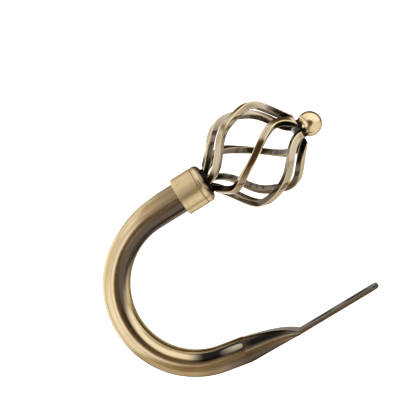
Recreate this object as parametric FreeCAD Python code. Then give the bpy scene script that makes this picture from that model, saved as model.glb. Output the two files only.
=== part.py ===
import FreeCAD, Part
import math
import os

# Curtain holdback: a bent tube hook, flattened and slotted at its wall end, with a twisted cage finial.
# Frame: the wall is the plane Y = 0, the hook stands out along +Y, the finial points along +X, +Z is up.
# The origin is midway between the two mounting slots, on the wall face. Sizes are millimetres and degrees.

# Hook tube
tube_d = 17.0
tube_wall = 1.0
bend_inner_r = 35.5
bend_squeeze = 2.5
runout_turn_deg = 27.0
runout_len = 13.0
arm_straight = 18.1

# Heel, where the tube comes back parallel to the wall and is pressed flat
set_back_deg = 10.0
lead_len = 12.4
heel_r = 25.0
flare_len = 32.0
flare_ease = 0.12
flare_wedge = 0.7
flare_round = 5
seam_gap = 0.2

# Flat strip with its two slots
slot_pitch = 21.5
slot_len = 12.0
slot_w = 5.0
slot_heel_margin = 8.0
slot_tip_margin = 7.0
strip_end_bow = 3.4

# Collar that caps the tube
collar_wall = 2.25
collar_len = 16.7
collar_end_wall = 3.0
collar_nose_r = 3.2
collar_mouth_chamfer = 0.4
groove_behind_nose = 0.8
groove_w = 0.8
groove_depth = 0.4
tube_fit = 0.05

# Plug and stud that hold the finial and its collar to the tube
plug_len = 12.0
plug_fit = 0.05
stud_d = 5.0
stud_clearance = 0.2
stud_recess = 0.3

# Cage of twisted square bars between two discs
cage_lean_deg = 2.7
base_disc_d = 14.0
base_disc_t = 2.0
bar_count = 6
bar_size = 3.8
bar_edge_r = 0.5
bar_foot_gap = 0.1
bar_foot_rake_deg = 50.0
bars_len = 55.6
belly_r = 26.4
cage_twist_deg = 98.0
cage_clock_deg = -67.0
tip_disc_t = 1.4

# Course of one bar: share of the cage length, share of the swell to the belly, share of the twist
bar_course = (
    (0.00, 0.00, 0.00),
    (0.06, 0.16, 0.09),
    (0.18, 0.54, 0.25),
    (0.35, 0.95, 0.49),
    (0.52, 1.00, 0.63),
    (0.69, 0.92, 0.79),
    (0.86, 0.42, 1.00),
    (1.00, 0.00, 1.00),
)

# Ball at the tip and the round-headed screw that holds it
ball_d = 13.5
ball_cut = 2.5
screw_d = 4.0
screw_head_gap = 0.6
screw_head_h = 4.5
screw_reach = 5.0
screw_clearance = 0.1

# Sections laid along the curved stretches
runout_steps = 11
flare_steps = 16
bar_steps = 20

# Worked-out sizes
bend_t = tube_d - bend_squeeze
bend_outer_r = bend_inner_r + bend_t
bend_middle_r = bend_inner_r + bend_t / 2
runout_turn = math.radians(runout_turn_deg)
runout_arc_len = bend_middle_r * runout_turn
runout_last_flat = math.pi * bend_squeeze * (1 - math.cos(math.pi / runout_steps)) / 8
strip_t = 2 * tube_wall
set_back = math.radians(set_back_deg)
strip_start_x = -(slot_pitch / 2 + slot_len / 2 + slot_heel_margin)
strip_end_x = slot_pitch / 2 + slot_len / 2 + slot_tip_margin
heel_arc_len = heel_r * set_back
heel_end_x = strip_start_x - (flare_len - heel_arc_len)
heel_start_x = heel_end_x - heel_r * math.sin(set_back)
bend_x = heel_start_x - lead_len * math.cos(set_back) + bend_outer_r * math.sin(set_back)
bend_y = (bend_outer_r * math.cos(set_back) + lead_len * math.sin(set_back)
          + heel_r * (1 - math.cos(set_back)))
arm_y = bend_y + bend_inner_r + tube_d / 2
collar_x = bend_x + arm_straight
collar_end_x = collar_x + collar_len
tube_end_x = collar_end_x - collar_end_wall
collar_d = tube_d + 2 * tube_fit + 2 * collar_wall
bars_start = base_disc_t
bars_end = bars_start + bars_len
bar_corner_r = bar_size / 2 / math.tan(math.pi / bar_count) + bar_foot_gap
bar_foot_r = bar_corner_r + bar_size / 2 / math.cos(math.radians(bar_foot_rake_deg))
tip_disc_end = bars_end + tip_disc_t
tip_disc_d = 2 * math.sqrt(ball_cut * (ball_d - ball_cut))
ball_centre = tip_disc_end + ball_d / 2 - ball_cut
screw_head_d = 2 * (bar_corner_r - screw_head_gap)
reach = collar_d + belly_r

X = FreeCAD.Vector(1, 0, 0)
Y = FreeCAD.Vector(0, 1, 0)
Z = FreeCAD.Vector(0, 0, 1)


def vec(x, y, z=0.0):
    return FreeCAD.Vector(x, y, z)


def squeezed_section(middle, across, t, inset=0.0):
    """The tube pressed to thickness t with its girth kept: two flats along Z and two round ends."""
    flat = Z * (math.pi * (tube_d - t) / 4)
    half = across * (t / 2 - inset)
    bulge = Z * (t / 2 - inset)
    inner_top, outer_top = middle + half + flat, middle - half + flat
    inner_low, outer_low = middle + half - flat, middle - half - flat
    return Part.Wire([
        Part.LineSegment(inner_low, inner_top).toShape(),
        Part.Arc(inner_top, middle + flat + bulge, outer_top).toShape(),
        Part.LineSegment(outer_top, outer_low).toShape(),
        Part.Arc(outer_low, middle - flat - bulge, inner_low).toShape(),
    ])


def round_section(middle, across, inset=0.0):
    """The round tube, divided like a squeezed section so that the two can be joined."""
    r = tube_d / 2 - inset
    side = math.asin(runout_last_flat / tube_d)

    def at(angle):
        return middle + across * (r * math.cos(angle)) + Z * (r * math.sin(angle))

    turns = (-side, 0.0, side, math.pi / 2, math.pi - side, math.pi, math.pi + side, 3 * math.pi / 2)
    points = [at(turn) for turn in turns]
    points.append(points[0])
    arcs = [Part.Arc(*points[i:i + 3]).toShape() for i in range(0, len(turns), 2)]
    return Part.Wire(arcs)


def towards_bend_centre(angle):
    """The direction from the tube to the bend's centre, at an angle from the bend's start."""
    return vec(math.sin(angle), -math.cos(angle))


def runout_solid(inset=0.0):
    """The tube rounding out on its outer side, from the first part of the bend to the straight arm."""
    sections = []
    for i in range(runout_steps):
        share = i / runout_steps
        t = bend_t + bend_squeeze * (1 - math.cos(math.pi * share)) / 2
        run = (runout_arc_len + runout_len) * share - runout_arc_len
        across = towards_bend_centre(max(0.0, -run) / bend_middle_r)
        middle = vec(bend_x + max(0.0, run), bend_y) - across * (bend_inner_r + t / 2)
        sections.append(squeezed_section(middle, across, t, inset))
    sections.append(round_section(vec(bend_x + runout_len, arm_y), -Y, inset))
    return Part.makeLoft(sections, True, False)


def bend_solid(inset=0.0):
    """The squeezed tube carried round the rest of the bend, short of a half turn by the set-back."""
    across = towards_bend_centre(runout_turn)
    middle = vec(bend_x, bend_y) - across * bend_middle_r
    face = Part.Face(squeezed_section(middle, across, bend_t, inset))
    return face.revolve(vec(bend_x, bend_y), Z, 180 - set_back_deg - runout_turn_deg)


def lead_solid(inset=0.0):
    """The short straight after the bend."""
    across = vec(math.sin(set_back), math.cos(set_back))
    along = vec(math.cos(set_back), -math.sin(set_back))
    middle = vec(bend_x, bend_y) - across * bend_middle_r
    return Part.Face(squeezed_section(middle, across, bend_t, inset)).extrude(along * lead_len)


def flare_solid(inset=0.0):
    """The tube pressed flat: its wall side turns onto the wall, its inner side falls like a spoon."""
    sections = []
    for i in range(flare_steps + 1):
        share = i / flare_steps
        eased = (math.hypot(share, flare_ease) - flare_ease) / (math.hypot(1, flare_ease) - flare_ease)
        pressed = flare_wedge * eased + (1 - flare_wedge) * share ** flare_round
        t = bend_t - (bend_t - strip_t) * pressed
        run = flare_len * share
        lean = max(0.0, set_back - run / heel_r)
        foot = vec(heel_end_x - heel_r * math.sin(lean) + max(0.0, run - heel_arc_len),
                   heel_r * (1 - math.cos(lean)))
        across = vec(math.sin(lean), math.cos(lean))
        gap_inset = inset - seam_gap / 2 * pressed if inset else 0.0
        sections.append(squeezed_section(foot + across * (t / 2), across, t, gap_inset))
    return Part.makeLoft(sections, True, False)


def slot_cutter(x):
    """A round-ended slot through the strip, lengthwise."""
    half = slot_len / 2 - slot_w / 2
    start = vec(x - half, -strip_t)
    depth = 3 * strip_t
    ends = [Part.makeCylinder(slot_w / 2, depth, start + X * (2 * half * i), Y) for i in range(2)]
    middle = Part.makeBox(2 * half, depth, slot_w, start - Z * (slot_w / 2))
    return middle.fuse(ends)


def strip_blank(x, half):
    """The strip's plan with its bowed end, as a block deeper than the strip."""
    centre = vec(strip_end_x - strip_end_bow, -strip_t)
    top, low = centre + Z * half, centre - Z * half
    bow = Part.Ellipse(top, centre + X * strip_end_bow, centre)
    end = Part.ArcOfEllipse(bow, 0, math.pi).toShape()
    heel_top, heel_low = vec(x, -strip_t, half), vec(x, -strip_t, -half)
    sides = [(top, heel_top), (heel_top, heel_low), (heel_low, low)]
    edges = [end] + [Part.LineSegment(*side).toShape() for side in sides]
    return Part.Face(Part.Wire(Part.__sortEdges__(edges))).extrude(Y * (3 * strip_t))


def strip_solid():
    """The flat strip on the wall, with a bowed end and two slots."""
    section = squeezed_section(vec(strip_start_x, strip_t / 2), Y, strip_t)
    strip = Part.Face(section).extrude(X * (strip_end_x - strip_start_x))
    half = math.pi * (tube_d - strip_t) / 4 + strip_t / 2
    strip = strip.common(strip_blank(strip_start_x, half))
    return strip.cut([slot_cutter(side * slot_pitch / 2) for side in (-1, 1)])


def hook_arm():
    """One tube from the collar round the bend to the slotted strip."""
    straight_len = tube_end_x - bend_x - runout_len
    straight = Part.makeCylinder(tube_d / 2, straight_len, vec(bend_x + runout_len, arm_y), X)
    bore = Part.makeCylinder(tube_d / 2 - tube_wall, straight_len, vec(bend_x + runout_len, arm_y), X)
    outside = straight.fuse([runout_solid(), bend_solid(), lead_solid(), flare_solid(), strip_solid()])
    inside = bore.fuse([part(tube_wall) for part in (runout_solid, bend_solid, lead_solid, flare_solid)])
    return outside.removeSplitter().cut(inside.removeSplitter())


def turned(edges):
    """A turned piece: the closed half section that the edges make, turned about the arm's axis."""
    return Part.Face(Part.Wire(edges)).revolve(vec(0, arm_y), X, 360)


def profile(points):
    """Straight edges from point to point of a half section, given as place along X and radius."""
    corners = [vec(x, arm_y + r) for x, r in points]
    return [Part.LineSegment(a, b).toShape() for a, b in zip(corners, corners[1:])]


def finial_collar():
    """A turned cup over the tube end, with a rounded nose, a fine groove and a hole for the stud."""
    r = collar_d / 2
    socket_r = tube_d / 2 + tube_fit
    hole_r = stud_d / 2 + stud_clearance
    nose_x = collar_end_x - collar_nose_r
    nose_low_r = r - collar_nose_r
    groove_x = nose_x - groove_behind_nose - groove_w / 2
    edges = profile([
        (tube_end_x, hole_r),
        (tube_end_x, socket_r),
        (collar_x, socket_r),
        (collar_x, r - collar_mouth_chamfer),
        (collar_x + collar_mouth_chamfer, r),
        (groove_x - groove_w / 2, r),
        (groove_x, r - groove_depth),
        (groove_x + groove_w / 2, r),
        (nose_x, r),
    ])
    round_out = collar_nose_r / math.sqrt(2)
    edges.append(Part.Arc(vec(nose_x, arm_y + r),
                          vec(nose_x + round_out, arm_y + nose_low_r + round_out),
                          vec(collar_end_x, arm_y + nose_low_r)).toShape())
    edges += profile([(collar_end_x, nose_low_r), (collar_end_x, hole_r), (tube_end_x, hole_r)])
    return turned(edges)


def tube_plug():
    """The plug in the tube end that the stud screws into."""
    start = vec(tube_end_x - plug_len, arm_y)
    plug = Part.makeCylinder(tube_d / 2 - tube_wall - plug_fit, plug_len, start, X)
    return plug.cut(Part.makeCylinder(stud_d / 2 + stud_clearance / 2, plug_len, start, X))


def finial_stud():
    """The stud from the plug through the collar into the base disc."""
    start_x = tube_end_x - plug_len
    end_x = collar_end_x + base_disc_t - stud_recess
    return Part.makeCylinder(stud_d / 2, end_x - start_x, vec(start_x, arm_y), X)


def lean_cage(shape):
    """Set a cage piece, made along +X from the origin, on the collar with the cage's lean to the wall."""
    shape.rotate(vec(0, 0), Z, -cage_lean_deg)
    shape.translate(vec(collar_end_x, arm_y))
    return shape


def cage_base():
    """The disc that the bars stand on, its foot faced to sit flat on the collar."""
    disc = Part.makeCylinder(base_disc_d / 2, 2 * base_disc_t, X * -base_disc_t, X)
    disc = lean_cage(disc)
    outside_collar = Part.makeBox(reach, 2 * reach, 2 * reach, vec(collar_end_x, arm_y - reach, -reach))
    disc = disc.common(outside_collar)
    hole_start = vec(collar_end_x - base_disc_t, arm_y)
    return disc.cut(Part.makeCylinder(stud_d / 2 + stud_clearance / 2, 3 * base_disc_t, hole_start, X))


def bar_point(along, swell, turn, clock):
    """A point of a bar's course: along the cage, out from its axis and round it."""
    r = bar_foot_r + (belly_r - bar_foot_r) * swell
    angle = math.radians(clock + cage_twist_deg * turn)
    return vec(bars_start + bars_len * along, r * math.sin(angle), r * math.cos(angle))


def bar_section(middle, tangent):
    """A square with rounded edges, across the bar, one face away from the cage's axis."""
    out = vec(0, middle.y, middle.z)
    out = (out - tangent * out.dot(tangent)).normalize()
    side = tangent.cross(out)
    half = bar_size / 2
    flat = half - bar_edge_r
    bulge = flat + bar_edge_r / math.sqrt(2)
    edges = []
    for u, v in ((out, side), (side, -out), (-out, -side), (-side, out)):
        stop = middle + u * half + v * flat
        edges.append(Part.LineSegment(stop - v * (2 * flat), stop).toShape())
        edges.append(Part.Arc(stop, middle + (u + v) * bulge, middle + u * flat + v * half).toShape())
    return Part.Wire(edges)


def cage_bar(number):
    """One bar, made a little too long and cut flush with the discs at both ends."""
    clock = cage_clock_deg + number * 360 / bar_count
    course = Part.BSplineCurve()
    course.interpolate([bar_point(*step, clock) for step in bar_course])
    first, last = course.FirstParameter, course.LastParameter
    sections = []
    for i in range(-1, bar_steps + 2):
        step = min(max(i, 0), bar_steps)
        at = first + (last - first) * step / bar_steps
        tangent = course.tangent(at)[0].normalize()
        spare = tangent * (bar_size * (i - step))
        sections.append(bar_section(course.value(at) + spare, tangent))
    bar = Part.makeLoft(sections, True, False)
    between_discs = Part.makeCylinder(reach, bars_len, X * bars_start, X)
    return lean_cage(bar.common(between_discs))


def tip_disc():
    """The disc that closes the bars at the tip and seats the ball."""
    disc = Part.makeCylinder(tip_disc_d / 2, tip_disc_t, X * bars_end, X)
    hole = Part.makeCylinder(screw_d / 2 + screw_clearance, tip_disc_t, X * bars_end, X)
    return lean_cage(disc.cut(hole))


def tip_ball():
    """The ball, with a flat turned to the size of the tip disc and a hole for its screw."""
    ball = Part.makeSphere(ball_d / 2, X * ball_centre)
    beyond_disc = Part.makeCylinder(ball_d, 2 * ball_d, X * tip_disc_end, X)
    hole_len = screw_reach + screw_clearance
    hole = Part.makeCylinder(screw_d / 2 + screw_clearance, hole_len, X * tip_disc_end, X)
    return lean_cage(ball.common(beyond_disc).cut(hole))


def ball_screw():
    """The round-headed screw from inside the cage through the tip disc into the ball."""
    shank = Part.makeCylinder(screw_d / 2, tip_disc_t + screw_reach, X * bars_end, X)
    head = Part.makeCylinder(screw_head_d / 2, screw_head_h, X * (bars_end - screw_head_h), X)
    crown = [edge for edge in head.Edges if edge.BoundBox.XMax < bars_end - screw_head_h / 2]
    head = head.makeFillet(screw_head_d / 4, crown)
    return lean_cage(shank.fuse(head).removeSplitter())


def main():
    os.makedirs("parts", exist_ok=True)
    pieces = {
        "hook_arm": hook_arm(),
        "finial_collar": finial_collar(),
        "tube_plug": tube_plug(),
        "finial_stud": finial_stud(),
        "cage_base": cage_base(),
        "tip_disc": tip_disc(),
        "ball_screw": ball_screw(),
        "tip_ball": tip_ball(),
    }
    for number in range(bar_count):
        pieces["cage_bar_%d" % (number + 1)] = cage_bar(number)
    for name, shape in pieces.items():
        if len(shape.Solids) != 1 or not shape.isValid():
            raise ValueError("%s is not one valid solid" % name)
        shape.Solids[0].exportStep("parts/%s.step" % name)


main()
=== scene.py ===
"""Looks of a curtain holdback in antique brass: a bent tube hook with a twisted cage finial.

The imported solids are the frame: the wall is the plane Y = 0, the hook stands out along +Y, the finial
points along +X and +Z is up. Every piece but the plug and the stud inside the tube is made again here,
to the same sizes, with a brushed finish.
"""
import math

import bmesh
import bpy
import numpy as np
from bpy.props import FloatProperty, FloatVectorProperty, IntProperty, PointerProperty
from bpy.types import Operator, Panel, PropertyGroup
from mathutils import Euler, Matrix, Vector


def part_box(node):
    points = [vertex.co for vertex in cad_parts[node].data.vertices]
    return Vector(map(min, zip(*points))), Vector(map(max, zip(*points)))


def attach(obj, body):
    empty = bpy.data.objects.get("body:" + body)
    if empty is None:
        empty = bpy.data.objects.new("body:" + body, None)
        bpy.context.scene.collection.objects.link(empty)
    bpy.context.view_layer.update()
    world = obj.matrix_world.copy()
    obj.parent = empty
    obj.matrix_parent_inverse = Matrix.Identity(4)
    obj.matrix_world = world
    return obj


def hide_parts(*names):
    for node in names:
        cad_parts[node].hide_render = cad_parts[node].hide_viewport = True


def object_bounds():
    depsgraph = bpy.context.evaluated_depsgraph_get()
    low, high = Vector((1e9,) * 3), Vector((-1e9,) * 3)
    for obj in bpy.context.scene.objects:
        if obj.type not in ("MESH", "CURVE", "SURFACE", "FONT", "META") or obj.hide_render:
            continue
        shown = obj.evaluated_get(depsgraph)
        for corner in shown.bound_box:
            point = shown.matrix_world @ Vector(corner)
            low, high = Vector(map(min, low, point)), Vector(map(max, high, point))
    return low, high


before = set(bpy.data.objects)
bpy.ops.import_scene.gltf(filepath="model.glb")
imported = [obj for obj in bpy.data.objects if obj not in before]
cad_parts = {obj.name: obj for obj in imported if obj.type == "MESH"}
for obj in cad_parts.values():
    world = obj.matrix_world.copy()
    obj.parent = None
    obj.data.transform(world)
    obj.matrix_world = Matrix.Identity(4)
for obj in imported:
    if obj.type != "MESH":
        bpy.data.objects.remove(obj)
cad_low, cad_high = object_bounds()
collar_low, collar_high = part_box("finial_collar")

bl_info = {
    "name": "Curtain Holdback",
    "version": (1, 0, 0),
    "blender": (4, 5, 0),
    "location": "View3D > Sidebar > Holdback",
    "description": "Builds the brushed brass pieces of a curtain holdback and its plain studio stage",
    "category": "Object",
}

MM = 0.001
STOCK = "stock"  # a point's place on the straight or turned stock, which the finishes follow
Z_AXIS = Vector((0.0, 0.0, 1.0))
SAME_POINT = 1e-4 * MM  # points closer than this are one point
DISC_EDGE = 0.15 * MM  # broken edge of the discs
RELIEF_DEPTH = 0.02 * MM  # depth of the brush lines

# Steps of the meshes along the arm, round it, and round the turned pieces
STRAIGHT_STEPS = 8
RUNOUT_STEPS = 24
BEND_STEPS = 120
LEAD_STEPS = 8
FLARE_STEPS = 48
STRIP_STEPS = 24
BOW_STEPS = 16
GIRTH_STEPS = 112
SLOT_END_STEPS = 24
BAR_STEPS = 110
COLLAR_STEPS = 192
DISC_STEPS = 96
BALL_STEPS = 144
SCREW_STEPS = 64

# Tent: rows out from the camera's axis, columns round it, and its reach in degrees
TENT_ROWS = 76
TENT_COLUMNS = 144
TENT_REACH = 160.0
TENT_WHITE = 0.99  # cloth as bright as this is left out, since the world behind it is white

# Course of one bar: share of the cage length, share of the swell to the belly, share of the twist
BAR_COURSE = (
    (0.00, 0.00, 0.00),
    (0.06, 0.16, 0.09),
    (0.18, 0.54, 0.25),
    (0.35, 0.95, 0.49),
    (0.52, 1.00, 0.63),
    (0.69, 0.92, 0.79),
    (0.86, 0.42, 1.00),
    (1.00, 0.00, 1.00),
)


def length(name, description, millimetres):
    """A length that a user may change, given in millimetres and kept in metres."""
    return FloatProperty(name=name, description=description, default=millimetres * MM, min=0.0,
                         precision=5, subtype="DISTANCE", unit="LENGTH")


def turn(name, description, degrees):
    """An angle that a user may change, given in degrees and kept in radians."""
    return FloatProperty(name=name, description=description, default=math.radians(degrees),
                         subtype="ANGLE", unit="ROTATION")


def share(name, description, value):
    """A number from 0 to 1 that a user may change."""
    return FloatProperty(name=name, description=description, default=value, min=0.0, max=1.0,
                         subtype="FACTOR")


def colour(name, description, rgb):
    """A colour that a user may change, as linear red, green and blue."""
    return FloatVectorProperty(name=name, description=description, default=rgb, min=0.0, max=1.0,
                               size=3, subtype="COLOR")


class HoldbackArmSettings(PropertyGroup):
    """Sizes of the bent tube and its slotted strip."""

    tube_d: length("Tube diameter", "Outside diameter of the tube", 17.0)
    tube_wall: length("Tube wall", "Thickness of the tube's wall", 1.0)
    bend_inner_r: length("Bend radius", "Radius of the bend at its inner wall", 35.5)
    bend_squeeze: length("Bend squeeze", "How much the bend narrows the tube", 2.5)
    runout_turn: turn("Run-out turn", "Part of the bend in which the tube rounds out", 27.0)
    runout_len: length("Run-out", "Length after the bend in which the tube rounds out", 13.0)
    set_back: turn("Set-back", "How far the bend stops short of a half turn", 10.0)
    lead_len: length("Lead", "Straight length after the bend", 12.4)
    heel_r: length("Heel radius", "Radius of the turn onto the wall", 25.0)
    flare_len: length("Flare", "Length in which the tube is pressed flat", 32.0)
    flare_ease: share("Flare ease", "How softly the pressing starts", 0.12)
    flare_wedge: share("Flare wedge", "Share of the pressing that is even along the flare", 0.7)
    flare_round: IntProperty(name="Flare roundness", description="How late the rest is pressed",
                             default=5, min=1)
    seam_gap: length("Seam gap", "Gap left inside the pressed tube", 0.2)
    slot_pitch: length("Slot pitch", "Distance between the slots' middles", 21.5)
    slot_len: length("Slot length", "Length of each slot", 12.0)
    slot_w: length("Slot width", "Width of each slot", 5.0)
    slot_heel_margin: length("Heel margin", "Strip between the flare and the first slot", 8.0)
    slot_tip_margin: length("Tip margin", "Strip beyond the last slot", 7.0)
    end_bow: length("End bow", "How far the strip's end bows out", 3.4)
    edge_break: length("Edge break", "Chamfer along the slots and the strip's end", 0.25)


class HoldbackCollarSettings(PropertyGroup):
    """Sizes of the turned collar."""

    end_wall: length("End wall", "Thickness of the collar's closed end", 3.0)
    tube_fit: length("Tube fit", "Clearance round the tube", 0.05)
    stud_hole_d: length("Stud hole", "Diameter of the hole for the stud", 5.4)
    nose_r: length("Nose radius", "Radius of the rounded end", 3.2)
    mouth_chamfer: length("Mouth chamfer", "Chamfer at the open end", 0.4)
    groove_behind_nose: length("Groove place", "Distance from the rounded end to the groove", 0.8)
    groove_w: length("Groove width", "Width of the fine groove", 0.8)
    groove_depth: length("Groove depth", "Depth of the fine groove", 0.4)


class HoldbackCageSettings(PropertyGroup):
    """Sizes of the twisted cage, its discs, the ball and its screw."""

    lean: turn("Lean", "Lean of the cage towards the wall", 2.7)
    base_disc_d: length("Base disc", "Diameter of the disc on the collar", 14.0)
    base_disc_t: length("Base thickness", "Thickness of the disc on the collar", 2.0)
    base_hole_d: length("Base hole", "Diameter of the stud's hole in the base disc", 5.2)
    bar_count: IntProperty(name="Bars", description="Number of bars", default=6, min=3)
    bar_size: length("Bar size", "Width of a square bar", 3.8)
    bar_edge_r: length("Bar edge", "Radius of a bar's edges", 0.5)
    bar_foot_gap: length("Foot gap", "Gap between the feet of the bars", 0.1)
    bar_foot_rake: turn("Foot rake", "Slope of the bars where they leave the base", 50.0)
    bars_len: length("Cage length", "Length of the cage between its discs", 55.6)
    belly_r: length("Belly radius", "Greatest distance of a bar's middle from the axis", 26.4)
    twist: turn("Twist", "Turn of each bar about the axis", 98.0)
    clock: turn("Clocking", "Turn of the first bar's foot", -67.0)
    tip_disc_t: length("Tip thickness", "Thickness of the disc under the ball", 1.4)
    ball_d: length("Ball diameter", "Diameter of the ball", 13.5)
    ball_cut: length("Ball flat", "How much of the ball its flat takes off", 2.5)
    screw_d: length("Screw diameter", "Diameter of the ball's screw", 4.0)
    screw_clearance: length("Screw clearance", "Clearance round the ball's screw", 0.1)
    screw_reach: length("Screw reach", "Length of the screw in the ball", 5.0)
    screw_head_h: length("Head height", "Height of the screw's head", 4.5)
    screw_head_gap: length("Head gap", "Gap between the screw's head and the bars", 0.6)


class HoldbackFinishSettings(PropertyGroup):
    """Colours of the antique brass, and of the light and shade painted on it."""

    brass: colour("Brass", "Brass where the dark finish is brushed off", (0.90, 0.73, 0.46))
    lathe_brass: colour("Lathe brass", "Brass of the collar and the ball", (1.0, 0.82, 0.52))
    # worn brass, also laid as a paler painted reflection on the upper side of the flare
    worn_brass_and_painted_reflection: colour("Worn brass", "Brass with a trace of the dark finish", (0.64, 0.50, 0.29))
    # also laid as painted shade over the flare
    patina_and_painted_shade: colour("Patina", "Dark finish left on brushed faces", (0.17, 0.12, 0.075))
    bar_face: colour("Bar face", "Brushed outer faces of the bars", (0.61, 0.52, 0.39))
    bar_side: colour("Bar side", "Darker side and inner faces of the bars", (0.22, 0.19, 0.155))
    # painted pale reflection at the crease of the press and towards the bend's innermost line
    rubbed_and_painted_light: colour("Rubbed", "Pale rubbed spot at the crease of the press", (0.62, 0.57, 0.50))
    # painted dark reflection inside the bend and on the lead and the flare
    painted_dark_reflection: colour("Recess", "Dark finish inside the bend and on the flare", (0.15, 0.118, 0.096))
    edge_gold: colour("Edge gold", "Brass along rubbed edges", (0.96, 0.76, 0.44))
    # also laid as painted dark reflection in the bend and along the flare's lower edge
    blackened_and_painted_shade: colour("Blackened", "Dark finish where no brush reaches", (0.050, 0.042, 0.036))
    # also laid as painted black shade round the slots and painted black reflections beside the crease
    slot_black_and_painted_shade: colour("Slot black", "Dark finish on the discs and in the slots", (0.020, 0.018, 0.017))
    # also laid as a painted grey reflection on the tube beside the collar
    gunmetal_and_painted_reflection: colour("Gunmetal", "Grey dark finish on pressed faces", (0.26, 0.24, 0.21))
    steel: colour("Steel", "Plain steel of the hidden fixings", (0.55, 0.55, 0.56))


class HoldbackStageSettings(PropertyGroup):
    """Camera, floor and light."""

    camera_place: FloatVectorProperty(
        name="Camera place", description="Where the camera stands", size=3,
        default=(0.0412, 0.0500, 0.6720), precision=4, subtype="TRANSLATION", unit="LENGTH")
    camera_turn: FloatVectorProperty(
        name="Camera turn", description="How the camera is turned", size=3,
        default=tuple(math.radians(a) for a in (-0.53, 7.15, -31.65)), subtype="EULER")
    lens: FloatProperty(name="Lens", description="Focal length in millimetres", default=112.9)
    floor_drop: length("Floor drop", "How far the floor lies below the object", 880.0)
    floor_size: length("Floor size", "Width of the floor", 8000.0)
    floor_white: colour("Floor", "Colour of the floor", (0.92, 0.92, 0.92))
    floor_glow: FloatProperty(name="Floor glow", description="Light that the floor gives off",
                              default=0.85, min=0.0)
    tent_r: length("Tent radius", "Distance of the tent's cloth", 900.0)
    tent_brown: colour("Tent brown", "Light in the tent's dark opening", (0.085, 0.052, 0.022))


class HoldbackSettings(PropertyGroup):
    """Everything that a user may change."""

    arm: PointerProperty(type=HoldbackArmSettings)
    collar: PointerProperty(type=HoldbackCollarSettings)
    cage: PointerProperty(type=HoldbackCageSettings)
    finish: PointerProperty(type=HoldbackFinishSettings)
    stage: PointerProperty(type=HoldbackStageSettings)


# Places that follow from the sizes and the frame

collar_x = collar_low.x
collar_end_x = collar_high.x
collar_r = collar_high.z
arm_y = (collar_low.y + collar_high.y) / 2


def cage_matrix(cage):
    """Cage pieces are made along +X from the origin and set on the collar with the cage's lean."""
    return Matrix.Translation((collar_end_x, arm_y, 0.0)) @ Matrix.Rotation(-cage.lean, 4, "Z")


def tube_end_x(settings):
    return collar_end_x - settings.collar.end_wall


def slots_end(arm):
    """Distance from the origin to the far end of a slot."""
    return arm.slot_pitch / 2 + arm.slot_len / 2


def strip_start(arm):
    """Where the strip starts along the wall, at the end of the flare."""
    return -(slots_end(arm) + arm.slot_heel_margin)


def bar_corner_r(cage):
    """Distance from the cage's axis to the inner faces of the bars at their feet."""
    return cage.bar_size / 2 / math.tan(math.pi / cage.bar_count) + cage.bar_foot_gap


def bar_foot_r(cage):
    return bar_corner_r(cage) + cage.bar_size / 2 / math.cos(cage.bar_foot_rake)


def bar_run_step(cage):
    """Step between the bars' runs on the stock, longer than a bar, so that no two bars look alike."""
    return 3 * cage.bars_len


def bars_end(cage):
    return cage.base_disc_t + cage.bars_len


def tip_disc_end(cage):
    return bars_end(cage) + cage.tip_disc_t


def tip_disc_r(cage):
    return math.sqrt(cage.ball_cut * (cage.ball_d - cage.ball_cut))


# Meshes

def lofted_mesh(name, rings, places, joined=False):
    """A closed mesh through like rings of points, each point with its place on the stock."""
    bm = bmesh.new()
    stock = bm.verts.layers.float_vector.new(STOCK)
    loops = []
    for ring, ring_places in zip(rings, places):
        loop = [bm.verts.new(point) for point in ring]
        for vert, place in zip(loop, ring_places):
            vert[stock] = place
        loops.append(loop)
    following = loops[1:] + loops[:1] if joined else loops[1:]
    for low, high in zip(loops, following):
        for i in range(len(low)):
            j = (i + 1) % len(low)
            bm.faces.new((low[i], low[j], high[j], high[i]))
    if not joined:
        bm.faces.new(loops[0])
        bm.faces.new(loops[-1])
    bmesh.ops.remove_doubles(bm, verts=bm.verts, dist=SAME_POINT)
    bmesh.ops.recalc_face_normals(bm, faces=bm.faces)
    mesh = bpy.data.meshes.new(name)
    bm.to_mesh(mesh)
    bm.free()
    return mesh


def smooth_faces(mesh, sharp_deg=35.0):
    """Smooth shading with the edges over an angle kept sharp."""
    mesh.shade_smooth()
    mesh.set_sharp_from_angle(angle=math.radians(sharp_deg))


def turned_mesh(name, profile, steps, joined):
    """A piece turned about X from points along X and out from it."""
    runs = [0.0]
    for (x0, r0), (x1, r1) in zip(profile, profile[1:]):
        runs.append(runs[-1] + math.hypot(x1 - x0, r1 - r0))
    rings, places = [], []
    for (x, r), run in zip(profile, runs):
        angles = [2 * math.pi * i / steps for i in range(steps)]
        ring = [Vector((x, r * math.cos(a), r * math.sin(a))) for a in angles]
        rings.append(ring)
        places.append([Vector((run, point.y, point.z)) for point in ring])
    mesh = lofted_mesh(name, rings, places, joined)
    smooth_faces(mesh)
    return mesh


def arc(centre_x, centre_r, radius, start_deg, end_deg, steps):
    """Points of a half section's arc, from one angle to another, 0 pointing along X."""
    points = []
    for i in range(steps + 1):
        a = math.radians(start_deg + (end_deg - start_deg) * i / steps)
        points.append((centre_x + radius * math.cos(a), centre_r + radius * math.sin(a)))
    return points


def add_piece(name, mesh, finish, node, matrix=None):
    """Put a mesh in the scene as the piece that stands for a solid of the frame."""
    piece = bpy.data.objects.new(name, mesh)
    bpy.context.scene.collection.objects.link(piece)
    mesh.materials.clear()
    mesh.materials.append(finish)
    if matrix is not None:
        piece.matrix_world = matrix
    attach(piece, "root")
    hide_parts(node)
    return piece


# Hook arm

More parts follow.
